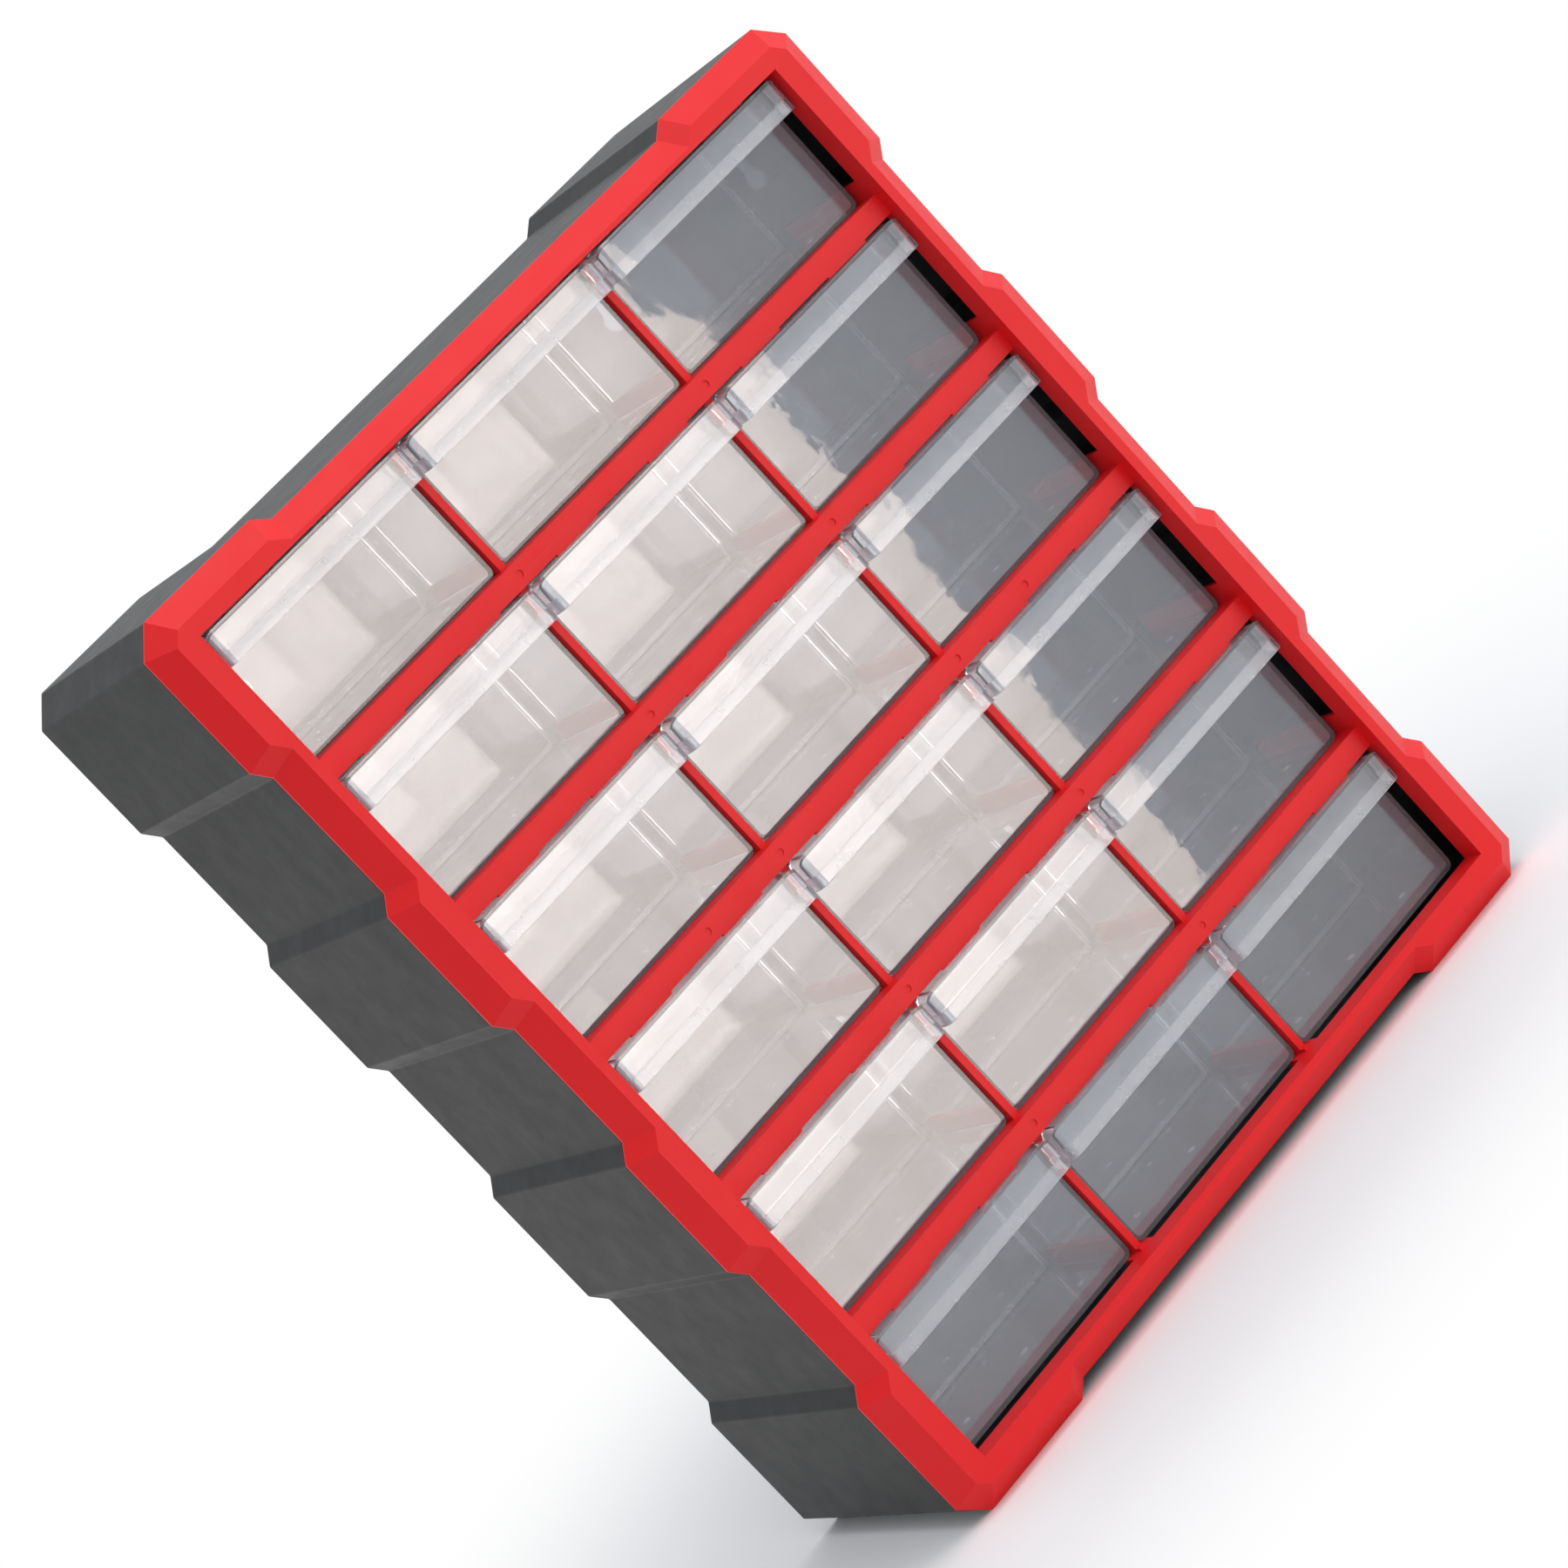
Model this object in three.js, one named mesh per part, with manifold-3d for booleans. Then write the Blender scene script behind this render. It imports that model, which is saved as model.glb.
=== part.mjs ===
// Small-parts cabinet: a dark moulded housing, a red front frame made up of a rim, shelf bars and column
// fins, and clear drawers that slide out of it, each with a lift-out cross divider.
// Millimetres. +Z is up, the drawers open towards -Y, and the origin is the centre of the base.
import * as THREE from 'three';
import { mergeVertices } from 'three/addons/utils/BufferGeometryUtils.js';
import Module from 'manifold-3d';

const wasm = await Module();
wasm.setup();

// Overall size
const WIDTH = 384;
const HEIGHT = 475;
const DEPTH = 155;

// Layout of the drawers
const COLUMNS = 3;
const ROWS = 6;
const RIM_SIDE = 20.1;
const RIM_TOP = 17.6;
const RIM_BOTTOM = 19.2;
const BAR_HEIGHT = 10;
const FIN_THICKNESS = 3.4;
const LIP_GAP = 2.0;
const LIP_TO_RIM = 1.3;

// Pads that stand out of the sides, the top and the base
const PAD_RISE = 5.6;
const PAD_STEP = 7.2;
const CORNER_PAD_SIDE = 67.8;
const CORNER_PAD_TOP = 69.4;
const MIDDLE_PAD = 57.4;
const CORNER_CHAMFER = 10.9;

// Front frame
const BEVEL_WIDTH = 10;
const BEVEL_DEPTH = 9.3;
const RIM_DEPTH = 10.8;
const COLLAR_DEPTH = 12.8;
const FRAME_WALL = 2.5;
const BAR_FRONT = 8;
const BAR_BACK = 22;
const BAR_WALL = 2.4;
const FIN_FRONT = 15.5;
const RUNNER_BACK = 82;
const RUNNER_HEIGHT = 9;
const RUNNER_THICKNESS = 2.4;
const STOP_TAB_WIDTH = 24;
const STOP_TAB_OFFSET = 28;
const STOP_TAB_CLEARANCE = 0.4;
const STOP_TAB_THICKNESS = 2.5;
const FOOT_WIDTH = 13;
const FOOT_HEIGHT = 4;
const DIMPLE_RADIUS = 1.75;
const DIMPLE_DEPTH = 0.6;
const DIMPLE_OFFSET = 12;
const DIMPLE_SIDES = 24;

// Housing
const HOUSING_WALL = 2.5;
const JOINT_GAP = 0.3;
const LEDGE_DEPTH = 40;
const LEDGE_THICKNESS = 2;
const KEYHOLE_SPACING = 240;
const KEYHOLE_BELOW_TOP = 45;
const KEYHOLE_HEAD = 5;
const KEYHOLE_SLOT = 2.5;
const KEYHOLE_RISE = 11;

// Drawer
const DRAWER_FRONT = 18;
const DRAWER_REAR_GAP = 16;
const DRAWER_SIDE_GAP = 1.0;
const DRAWER_REST_GAP = 0.3;
const DRAWER_TOP_GAP = 1.3;
const DRAWER_WALL = 1.6;
const DRAWER_FLOOR = 1.8;
const DRAWER_RADIUS = 3.5;
const STOP_RIB_CLEARANCE = 0.4;
const LIP_FRONT = 3.5;
const LIP_TO_FIN = 0.7;
const LIP_HEIGHT = 15.5;
const LIP_RADIUS = 4;
const BEAD_THICKNESS = 2.4;
const BEAD_HEIGHT = 5.5;

// Cross divider and the slot that holds it
const DIVIDER_DEPTH = 87;
const DIVIDER_THICKNESS = 1.6;
const DIVIDER_GAP = 0.3;
const DIVIDER_BELOW_RIM = 4;
const SLOT_RIB = 1.2;
const SLOT_RIB_REACH = 1.6;

// Values that follow from the sizes above
const FRONT = -DEPTH / 2;
const OPENING_WIDTH = WIDTH - 2 * RIM_SIDE;
const OPENING_HEIGHT = HEIGHT - RIM_TOP - RIM_BOTTOM;
const CELL_HEIGHT = (OPENING_HEIGHT - (ROWS - 1) * BAR_HEIGHT) / ROWS;
const ROW_PITCH = CELL_HEIGHT + BAR_HEIGHT;
const LIP_WIDTH = (OPENING_WIDTH - 2 * LIP_TO_RIM - (COLUMNS - 1) * LIP_GAP) / COLUMNS;
const COLUMN_PITCH = LIP_WIDTH + LIP_GAP;
const BODY_WIDTH = COLUMN_PITCH - FIN_THICKNESS - 2 * DRAWER_SIDE_GAP;
const BODY_HEIGHT = CELL_HEIGHT - DRAWER_REST_GAP - DRAWER_TOP_GAP;
const HOUSING_FRONT = RIM_DEPTH + JOINT_GAP;
const CAVITY_BACK = DEPTH - HOUSING_WALL;
const DRAWER_BACK = CAVITY_BACK - DRAWER_REAR_GAP;
const LIP_BACK = FIN_FRONT - LIP_TO_FIN;
const STOP_TAB_DROP = DRAWER_TOP_GAP - STOP_TAB_CLEARANCE;
const STOP_RIB_RISE = DRAWER_TOP_GAP - STOP_RIB_CLEARANCE;
const STEP_TURN = Math.tan(Math.atan2(PAD_RISE, PAD_STEP) / 2);
const OVERLAP = 1;

const columnX = (column) => (column - (COLUMNS + 1) / 2) * COLUMN_PITCH;
const cellFloor = (row) => HEIGHT - RIM_TOP - CELL_HEIGHT - (row - 1) * ROW_PITCH;
const finX = (fin) => (fin - COLUMNS / 2) * COLUMN_PITCH;

// Solids

function toSolid(geometry) {
  const bare = geometry.clone();
  bare.deleteAttribute('normal');
  bare.deleteAttribute('uv');
  const merged = mergeVertices(bare, 1e-4);
  const vertProperties = new Float32Array(merged.attributes.position.array);
  const triVerts = new Uint32Array(merged.index.array);
  return new wasm.Manifold(new wasm.Mesh({ numProp: 3, vertProperties, triVerts }));
}

function toGeometry(solid) {
  const mesh = solid.getMesh();
  const geometry = new THREE.BufferGeometry();
  geometry.setAttribute('position', new THREE.BufferAttribute(mesh.vertProperties, 3));
  geometry.setIndex(new THREE.BufferAttribute(mesh.triVerts, 1));
  geometry.computeVertexNormals();
  return geometry;
}

function joined(solids) {
  return solids.reduce((whole, solid) => whole.add(solid));
}

// A box between two corners. Depths count back from the front of the cabinet.
function box(x0, x1, depth0, depth1, z0, z1) {
  const geometry = new THREE.BoxGeometry(x1 - x0, depth1 - depth0, z1 - z0);
  geometry.translate((x0 + x1) / 2, FRONT + (depth0 + depth1) / 2, (z0 + z1) / 2);
  return toSolid(geometry);
}

function shapeOf(points) {
  return new THREE.Shape(points.map(([u, v]) => new THREE.Vector2(u, v)));
}

// An outline in X and Z, run from one depth to another.
function prismInDepth(points, depth0, depth1) {
  const options = { depth: depth1 - depth0, bevelEnabled: false };
  const geometry = new THREE.ExtrudeGeometry(shapeOf(points), options);
  geometry.rotateX(Math.PI / 2);
  geometry.translate(0, FRONT + depth1, 0);
  return toSolid(geometry);
}

// An outline in X and depth, run from one height to another.
function prismUpright(points, z0, z1) {
  const placed = points.map(([x, depth]) => [x, FRONT + depth]);
  const geometry = new THREE.ExtrudeGeometry(shapeOf(placed), { depth: z1 - z0, bevelEnabled: false });
  geometry.translate(0, 0, z0);
  return toSolid(geometry);
}

function arc(centreX, centreY, radius, startDegrees, endDegrees, steps) {
  const points = [];
  for (let i = 0; i <= steps; i += 1) {
    const angle = THREE.MathUtils.degToRad(startDegrees + ((endDegrees - startDegrees) * i) / steps);
    points.push([centreX + radius * Math.cos(angle), centreY + radius * Math.sin(angle)]);
  }
  return points;
}

// Outline of the cabinet seen from the front, moved inwards by an even inset. It runs anticlockwise.
// Each side has two pads between its corner pads, so it has three recesses with a step at both ends.
function cabinetOutline(inset) {
  const halfWidth = WIDTH / 2;
  const halfHeight = HEIGHT / 2;
  const shift = inset * STEP_TURN;
  const chamfer = CORNER_CHAMFER - inset * (2 - Math.SQRT2);
  const recesses = 3;
  const recess = (HEIGHT - 2 * CORNER_PAD_SIDE - 2 * MIDDLE_PAD) / recesses - 2 * PAD_STEP;
  const outX = halfWidth - inset;
  const inX = outX - PAD_RISE;
  const outZ = halfHeight - inset;
  const inZ = outZ - PAD_RISE;
  const middleLow = recess / 2 + PAD_STEP;
  const cornerEnd = halfHeight - CORNER_PAD_SIDE;
  const topEnd = halfWidth - CORNER_PAD_TOP;
  const rightSide = [
    [inX, recess / 2 + shift],
    [outX, middleLow + shift],
    [outX, middleLow + MIDDLE_PAD - shift],
    [inX, middleLow + MIDDLE_PAD + PAD_STEP - shift],
    [inX, cornerEnd - PAD_STEP + shift],
    [outX, cornerEnd + shift],
    [outX, outZ - chamfer],
    [outX - chamfer, outZ],
    [topEnd + shift, outZ],
    [topEnd - PAD_STEP + shift, inZ],
  ];
  const quarter = (signX, signZ) => rightSide.map(([x, z]) => [signX * x, halfHeight + signZ * z]);
  return [
    ...quarter(1, 1),
    ...quarter(-1, 1).reverse(),
    ...quarter(-1, -1),
    ...quarter(1, -1).reverse(),
  ];
}

function keyhole(x) {
  const top = HEIGHT - KEYHOLE_BELOW_TOP;
  const low = top - KEYHOLE_RISE;
  const reach = Math.sqrt(KEYHOLE_HEAD ** 2 - KEYHOLE_SLOT ** 2);
  const sweep = THREE.MathUtils.radToDeg(Math.asin(KEYHOLE_SLOT / KEYHOLE_HEAD));
  const head = arc(x, low, KEYHOLE_HEAD, 90 + sweep, 450 - sweep, 20);
  const slot = arc(x, top, KEYHOLE_SLOT, 0, 180, 8);
  slot[0][1] = Math.max(slot[0][1], low + reach);
  return prismInDepth([...head, ...slot], CAVITY_BACK - OVERLAP, DEPTH + OVERLAP);
}

function housing() {
  const shell = prismInDepth(cabinetOutline(0), HOUSING_FRONT, DEPTH);
  const cavity = prismInDepth(cabinetOutline(HOUSING_WALL), HOUSING_FRONT - OVERLAP, CAVITY_BACK);
  const ledgeLimit = prismInDepth(cabinetOutline(HOUSING_WALL / 2), HOUSING_FRONT, DEPTH - HOUSING_WALL / 2);
  const ledges = [];
  for (let row = 1; row <= ROWS; row += 1) {
    const top = cellFloor(row);
    const low = top - LEDGE_THICKNESS;
    ledges.push(box(-WIDTH, WIDTH, CAVITY_BACK - LEDGE_DEPTH, DEPTH, low, top));
  }
  return shell
    .subtract(cavity)
    .add(joined(ledges).intersect(ledgeLimit))
    .subtract(keyhole(-KEYHOLE_SPACING / 2))
    .subtract(keyhole(KEYHOLE_SPACING / 2));
}

// The rim of the front frame with its sloping outer edge and the collar that sits in the housing.
function frameRim() {
  const blankDepth = COLLAR_DEPTH + BEVEL_DEPTH;
  const bevelled = new THREE.ExtrudeGeometry(shapeOf(cabinetOutline(0)), {
    depth: blankDepth,
    bevelEnabled: true,
    bevelSegments: 1,
    bevelThickness: BEVEL_DEPTH,
    bevelSize: BEVEL_WIDTH,
    bevelOffset: -BEVEL_WIDTH,
  });
  bevelled.rotateX(Math.PI / 2);
  bevelled.translate(0, FRONT + blankDepth + BEVEL_DEPTH, 0);
  const rim = toSolid(bevelled).intersect(box(-WIDTH, WIDTH, -OVERLAP, RIM_DEPTH, -HEIGHT, 2 * HEIGHT));
  const collarInset = HOUSING_WALL + JOINT_GAP;
  const collar = prismInDepth(cabinetOutline(collarInset), RIM_DEPTH - OVERLAP, COLLAR_DEPTH);
  const halfOpening = OPENING_WIDTH / 2;
  const openingTop = HEIGHT - RIM_TOP;
  const opening = box(-halfOpening, halfOpening, -OVERLAP, DEPTH, RIM_BOTTOM, openingTop);
  const innerWall = box(
    -halfOpening - FRAME_WALL,
    halfOpening + FRAME_WALL,
    -OVERLAP,
    DEPTH,
    RIM_BOTTOM - FRAME_WALL,
    openingTop + FRAME_WALL,
  );
  const trough = prismInDepth(cabinetOutline(collarInset + FRAME_WALL), BEVEL_DEPTH, DEPTH);
  return rim.add(collar).subtract(trough.subtract(innerWall)).subtract(opening);
}

// One straight side of the rim. The left and right sides stand between the top and the bottom one.
function rimSide(side) {
  const openingTop = HEIGHT - RIM_TOP;
  const low = RIM_BOTTOM + JOINT_GAP;
  const high = openingTop - JOINT_GAP;
  const limits = {
    top: box(-WIDTH, WIDTH, -OVERLAP, DEPTH, openingTop, 2 * HEIGHT),
    bottom: box(-WIDTH, WIDTH, -OVERLAP, DEPTH, -HEIGHT, RIM_BOTTOM),
    left: box(-WIDTH, 0, -OVERLAP, DEPTH, low, high),
    right: box(0, WIDTH, -OVERLAP, DEPTH, low, high),
  };
  const bar = frameRim().intersect(limits[side]);
  return side === 'top' ? joined([bar, ...stopTabs(1)]) : bar;
}

// Tabs that hang in front of a row's ceiling and catch the stop rib of a drawer at the end of its travel.
function stopTabs(row) {
  const ceiling = cellFloor(row) + CELL_HEIGHT;
  const low = ceiling - STOP_TAB_DROP;
  const half = STOP_TAB_WIDTH / 2;
  const tabs = [];
  for (let column = 1; column <= COLUMNS; column += 1) {
    for (const side of [-1, 1]) {
      const x = columnX(column) + side * STOP_TAB_OFFSET;
      tabs.push(box(x - half, x + half, BAR_FRONT, BAR_FRONT + STOP_TAB_THICKNESS, low, ceiling + OVERLAP));
    }
  }
  return tabs;
}

// A shallow round mark where the plastic was fed in.
function dimple(x, z) {
  const step = 360 / DIMPLE_SIDES;
  const round = arc(x, z, DIMPLE_RADIUS, 0, 360 - step, DIMPLE_SIDES - 1);
  return prismInDepth(round, BAR_FRONT - OVERLAP, BAR_FRONT + DIMPLE_DEPTH);
}

// The marks on the bar under a row: one at each fin, and two more on the bar at mid height.
function dimplesOn(row) {
  const z = cellFloor(row) - BAR_HEIGHT / 2;
  const dimples = [];
  for (let fin = 1; fin < COLUMNS; fin += 1) {
    dimples.push(dimple(finX(fin), z));
  }
  if (row === Math.round(ROWS / 2)) {
    dimples.push(dimple(columnX(1) + DIMPLE_OFFSET, z));
    dimples.push(dimple(columnX(COLUMNS) - DIMPLE_OFFSET, z));
  }
  return dimples;
}

// A guide that runs back beside the drawers from the end of a shelf bar.
function sideRunner(side, row) {
  const floor = cellFloor(row);
  const outer = side * (OPENING_WIDTH / 2 + RUNNER_THICKNESS);
  const inner = side * (OPENING_WIDTH / 2);
  const x0 = Math.min(inner, outer);
  const x1 = Math.max(inner, outer);
  const front = COLLAR_DEPTH + JOINT_GAP;
  const runner = box(x0, x1, front, RUNNER_BACK, floor - BAR_WALL, floor + RUNNER_HEIGHT);
  const rootEnd = side * (OPENING_WIDTH / 2 - 2 * JOINT_GAP);
  const root0 = Math.min(rootEnd, outer);
  const root1 = Math.max(rootEnd, outer);
  const root = box(root0, root1, front, BAR_BACK, floor - BAR_WALL, floor);
  return runner.add(root);
}

// A rail under a row of drawers: closed at the front, top and bottom, and open at the back.
function shelfBar(row) {
  const top = cellFloor(row);
  const low = top - BAR_HEIGHT;
  const end = OPENING_WIDTH / 2 - JOINT_GAP;
  const inEnd = end - BAR_WALL;
  const blank = box(-end, end, BAR_FRONT, BAR_BACK, low, top);
  const hollow = box(-inEnd, inEnd, BAR_FRONT + BAR_WALL, DEPTH, low + BAR_WALL, top - BAR_WALL);
  const pieces = [blank.subtract(hollow), sideRunner(-1, row), sideRunner(1, row), ...stopTabs(row + 1)];
  const cuts = dimplesOn(row);
  for (let fin = 1; fin < COLUMNS; fin += 1) {
    const half = FIN_THICKNESS / 2 + JOINT_GAP;
    const x = finX(fin);
    cuts.push(box(x - half, x + half, FIN_FRONT - JOINT_GAP, DEPTH, low - OVERLAP, top + OVERLAP));
  }
  return joined(pieces).subtract(joined(cuts));
}

// The upright between two columns, with a runner beside each row of drawers and a foot behind the sill.
function columnFin(fin) {
  const x = finX(fin);
  const half = FIN_THICKNESS / 2;
  const sill = cellFloor(ROWS);
  const low = sill + JOINT_GAP;
  const high = HEIGHT - RIM_TOP - JOINT_GAP;
  const pieces = [box(x - half, x + half, FIN_FRONT, BAR_BACK, low, high)];
  for (let row = 1; row <= ROWS; row += 1) {
    const floor = cellFloor(row);
    const start = Math.max(floor, low);
    pieces.push(box(x - half, x + half, FIN_FRONT, RUNNER_BACK, start, floor + RUNNER_HEIGHT));
  }
  const footHalf = FOOT_WIDTH / 2;
  const footFront = COLLAR_DEPTH + JOINT_GAP;
  pieces.push(box(x - half, x + half, footFront, BAR_BACK, sill - FOOT_HEIGHT, low + OVERLAP));
  pieces.push(box(x - footHalf, x + footHalf, footFront, BAR_BACK, sill - FOOT_HEIGHT, sill));
  return joined(pieces);
}

// Front view of a drawer: square at the top, rounded at the two lower corners.
function trayOutline(x, floor, width, height, radius) {
  const half = width / 2;
  const left = x - half;
  const right = x + half;
  return [
    [right, floor + height],
    [left, floor + height],
    ...arc(left + radius, floor + radius, radius, 180, 270, 5),
    ...arc(right - radius, floor + radius, radius, 270, 360, 5),
  ];
}

// Plan of the lip: a straight front with rounded ends.
function lipPlan(x, inset) {
  const half = LIP_WIDTH / 2 - inset;
  const front = LIP_FRONT + inset;
  const radius = LIP_RADIUS - inset;
  return [
    [x + half, LIP_BACK],
    [x - half, LIP_BACK],
    ...arc(x - half + radius, front + radius, radius, 180, 270, 5),
    ...arc(x + half - radius, front + radius, radius, 270, 360, 5),
  ];
}

// Front view of the lip: rounded at the two upper corners.
function lipFace(x, top, inset) {
  const half = LIP_WIDTH / 2 - inset;
  const radius = LIP_RADIUS - inset;
  const high = top - inset;
  const low = top - LIP_HEIGHT - OVERLAP;
  return [
    [x - half, low],
    [x + half, low],
    ...arc(x + half - radius, high - radius, radius, 0, 90, 5),
    ...arc(x - half + radius, high - radius, radius, 90, 180, 5),
  ];
}

function drawerLip(x, top) {
  const low = top - LIP_HEIGHT;
  const outside = prismUpright(lipPlan(x, 0), low, top)
    .intersect(prismInDepth(lipFace(x, top, 0), 0, DRAWER_FRONT));
  const inside = prismUpright(lipPlan(x, DRAWER_WALL), low - OVERLAP, top + OVERLAP)
    .intersect(prismInDepth(lipFace(x, top, DRAWER_WALL), 0, DRAWER_FRONT));
  const skin = outside.subtract(inside);
  const beadRing = prismUpright(lipPlan(x, 0), low, low + BEAD_HEIGHT)
    .subtract(prismUpright(lipPlan(x, BEAD_THICKNESS), low - OVERLAP, low + BEAD_HEIGHT + OVERLAP));
  const half = BODY_WIDTH / 2;
  const bridge = box(x - half, x + half, LIP_BACK - OVERLAP, DRAWER_FRONT + OVERLAP, top - DRAWER_WALL, top);
  return joined([skin, beadRing, bridge]);
}

function slotRibs(x, floor, top) {
  const ribs = [];
  const wallInside = BODY_WIDTH / 2 - DRAWER_WALL;
  for (const side of [-1, 1]) {
    const near = x + side * (wallInside - SLOT_RIB_REACH);
    const far = x + side * (wallInside + DRAWER_WALL / 2);
    const x0 = Math.min(near, far);
    const x1 = Math.max(near, far);
    for (const face of [-1, 1]) {
      const start = DIVIDER_DEPTH + face * (DIVIDER_THICKNESS / 2 + DIVIDER_GAP);
      const end = start + face * SLOT_RIB;
      ribs.push(box(x0, x1, Math.min(start, end), Math.max(start, end), floor + DRAWER_FLOOR / 2, top));
    }
  }
  return ribs;
}

function drawer(column, row) {
  const x = columnX(column);
  const floor = cellFloor(row) + DRAWER_REST_GAP;
  const top = floor + BODY_HEIGHT;
  const tray = prismInDepth(
    trayOutline(x, floor, BODY_WIDTH, BODY_HEIGHT, DRAWER_RADIUS),
    DRAWER_FRONT,
    DRAWER_BACK,
  );
  const innerWidth = BODY_WIDTH - 2 * DRAWER_WALL;
  const pocket = prismInDepth(
    trayOutline(x, floor + DRAWER_FLOOR, innerWidth, BODY_HEIGHT, DRAWER_RADIUS - DRAWER_WALL),
    DRAWER_FRONT + DRAWER_WALL,
    DRAWER_BACK - DRAWER_WALL,
  );
  const half = BODY_WIDTH / 2;
  const ribFront = DRAWER_BACK - DRAWER_WALL;
  const stopRib = box(x - half, x + half, ribFront, DRAWER_BACK, top - OVERLAP, top + STOP_RIB_RISE);
  const walls = tray.subtract(pocket);
  return joined([walls, stopRib, drawerLip(x, top), ...slotRibs(x, floor, top)]);
}

function crossDivider(column, row) {
  const x = columnX(column);
  const floor = cellFloor(row) + DRAWER_REST_GAP + DRAWER_FLOOR + DIVIDER_GAP;
  const width = BODY_WIDTH - 2 * DRAWER_WALL - 2 * DIVIDER_GAP;
  const height = BODY_HEIGHT - DRAWER_FLOOR - DIVIDER_GAP - DIVIDER_BELOW_RIM;
  const half = DIVIDER_THICKNESS / 2;
  return prismInDepth(
    trayOutline(x, floor, width, height, DRAWER_RADIUS),
    DIVIDER_DEPTH - half,
    DIVIDER_DEPTH + half,
  );
}

// Finishes
const darkPlastic = { color: 0x43423f, roughness: 0.55, metalness: 0 };
const redPlastic = { color: 0xe8393c, roughness: 0.4, metalness: 0 };
const clearPlastic = { color: 0xdfe3e6, roughness: 0.12, metalness: 0, transparent: true, opacity: 0.35 };

const cabinet = new THREE.Group();

function addPiece(name, solid, finish) {
  const mesh = new THREE.Mesh(toGeometry(solid), new THREE.MeshStandardMaterial(finish));
  mesh.name = name;
  cabinet.add(mesh);
}

addPiece('housing', housing(), darkPlastic);
for (const side of ['top', 'bottom', 'left', 'right']) {
  addPiece(`frame_rim_${side}`, rimSide(side), redPlastic);
}
for (let row = 1; row < ROWS; row += 1) {
  addPiece(`shelf_bar_${row}`, shelfBar(row), redPlastic);
}
for (let fin = 1; fin < COLUMNS; fin += 1) {
  addPiece(`column_fin_${fin}`, columnFin(fin), redPlastic);
}
for (let row = 1; row <= ROWS; row += 1) {
  for (let column = 1; column <= COLUMNS; column += 1) {
    addPiece(`drawer_r${row}_c${column}`, drawer(column, row), clearPlastic);
    addPiece(`divider_r${row}_c${column}`, crossDivider(column, row), clearPlastic);
  }
}

export default cabinet;
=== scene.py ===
import math

import bmesh
import bpy
from mathutils import Matrix, Vector


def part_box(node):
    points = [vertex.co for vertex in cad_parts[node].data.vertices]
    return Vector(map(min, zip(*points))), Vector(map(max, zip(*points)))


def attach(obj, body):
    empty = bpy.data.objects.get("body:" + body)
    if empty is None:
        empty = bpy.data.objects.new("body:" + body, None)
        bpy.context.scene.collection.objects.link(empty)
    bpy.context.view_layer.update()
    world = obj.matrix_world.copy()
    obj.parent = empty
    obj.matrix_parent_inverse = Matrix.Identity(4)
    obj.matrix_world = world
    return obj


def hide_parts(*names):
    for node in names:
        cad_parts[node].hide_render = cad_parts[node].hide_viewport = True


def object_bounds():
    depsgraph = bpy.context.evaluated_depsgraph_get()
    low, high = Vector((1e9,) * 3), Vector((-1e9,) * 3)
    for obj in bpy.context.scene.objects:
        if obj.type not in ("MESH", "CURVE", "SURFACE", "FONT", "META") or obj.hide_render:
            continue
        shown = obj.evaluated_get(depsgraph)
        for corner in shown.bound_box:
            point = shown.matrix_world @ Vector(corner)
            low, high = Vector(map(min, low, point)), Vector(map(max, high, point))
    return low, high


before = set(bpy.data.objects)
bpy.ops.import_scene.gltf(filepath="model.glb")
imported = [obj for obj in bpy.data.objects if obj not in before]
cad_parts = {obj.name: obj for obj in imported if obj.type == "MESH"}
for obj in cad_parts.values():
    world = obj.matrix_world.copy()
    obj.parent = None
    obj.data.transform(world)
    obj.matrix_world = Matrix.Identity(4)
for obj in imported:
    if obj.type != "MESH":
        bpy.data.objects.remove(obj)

MM = 0.001
cad_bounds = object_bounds()

# Gaps and sizes that the frame was designed with, in millimetres.
JOINT_GAP = 0.3
LIP_TO_RIM = 1.3
FIN_THICKNESS = 3.4
FIN_FRONT = 15.5
COLLAR_DEPTH = 12.8
LIP_TO_FACE = 14.5
LIP_HEIGHT = 15.5
BEAD_HEIGHT = 5.5
STOP_RIB_RISE = 0.9
DRAWER_FLOOR = 1.8

# How far one part of the front frame is pushed into the next, to close the gap, in millimetres.
SINK = 1.0
BAR_SINK = 0.4

# Merging a mesh's loose triangles: distances in millimetres, and the angle up to which a face is flat.
MERGE_DISTANCE = 0.005
CUT_TOLERANCE = 0.001
CUT_OFF_CENTRE = 0.37
PLANE_TOLERANCE = 0.05
FLAT_ANGLE = math.radians(0.4)

# Rounded edges of the mouldings: their widths in millimetres, the steps round each of them, and the least
# angle between two faces that is rounded.
HOUSING_EDGE = 0.9
FRAME_EDGE = 0.7
DRAWER_EDGE = 0.2
DIVIDER_EDGE = 0.25
BODY_STEPS = 3
CLEAR_STEPS = 2
EDGE_ANGLE = math.radians(24)
FLAT_FACE_WEIGHT = 60

# A face counts as narrow when its mean width is under this share of the width that it is compared with.
NARROW_SHARE = 0.6

# The frame round a divider, how far the panel in it is sunk, and the width up to which a face is frosted,
# in millimetres. A face is on a divider's panel side when its normal points this far across it.
DIVIDER_FRAME = 2.4
DIVIDER_SINK = 0.35
DIVIDER_FROSTED = 1.8 * DIVIDER_FRAME
PANEL_FACING = 0.9

# How far behind its front the lip's lower band is frosted, in millimetres.
BAND_DEPTH = LIP_TO_FACE - 1

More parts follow.
